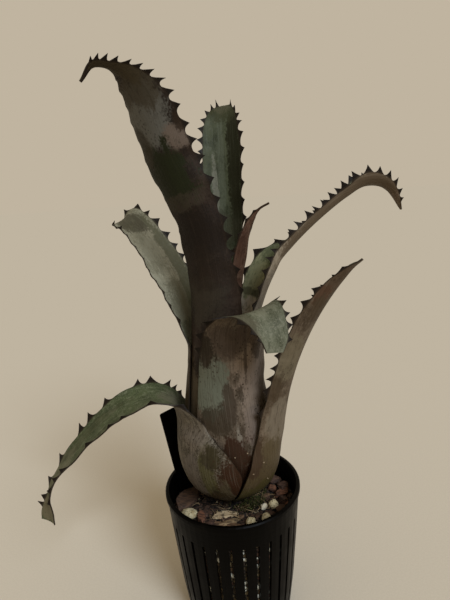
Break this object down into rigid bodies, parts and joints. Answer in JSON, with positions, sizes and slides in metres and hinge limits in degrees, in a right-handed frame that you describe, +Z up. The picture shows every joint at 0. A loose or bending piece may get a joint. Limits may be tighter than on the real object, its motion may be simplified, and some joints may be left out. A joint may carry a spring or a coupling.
{
  "type": "potted bromeliad",
  "caption": "Young bromeliad with a bulbous base and long curved spiny-edged leaves, in a round black nursery pot with upright wall slots, with bark mix and a plain label.",
  "frame": {"origin": "middle of the pot's flat underside", "axes": "+Z up through the pot, -Y towards the viewer of the picture, +X to that viewer's right"},
  "size_m": [0.2028, 0.0888, 0.2901],
  "materials": {
    "pot": "satin",
    "potting_mix": "matte",
    "bark": "matte",
    "pumice": "matte",
    "husk": "matte",
    "stem": "matte",
    "label": "matte",
    "leaf_green": "satin",
    "leaf_grey": "satin",
    "leaf_purple": "satin",
    "leaf_red": "satin"
  },
  "bodies": {
    "root": {"pot": "pot", "potting_mix": "potting_mix", "stem": "stem", "plant_label": "label", "leaf_lower_left": "leaf_green", "leaf_lower_right": "leaf_grey", "leaf_front_folded": "leaf_grey", "leaf_left": "leaf_green", "leaf_tall_front": "leaf_purple", "leaf_arching_right": "leaf_grey", "leaf_upright_back": "leaf_green", "leaf_heart": "leaf_red", "pumice_stone_1": "pumice", "pumice_stone_2": "pumice", "pumice_stone_3": "pumice", "pumice_stone_4": "pumice", "pumice_stone_5": "pumice", "pumice_stone_6": "pumice", "bark_chip_1": "bark", "bark_chip_2": "bark", "bark_chip_3": "bark", "bark_chip_4": "bark", "bark_chip_5": "bark", "bark_chip_6": "bark", "bark_chip_7": "bark", "bark_chip_8": "bark", "coir_husk_1": "husk"}
  },
  "joints": []
}
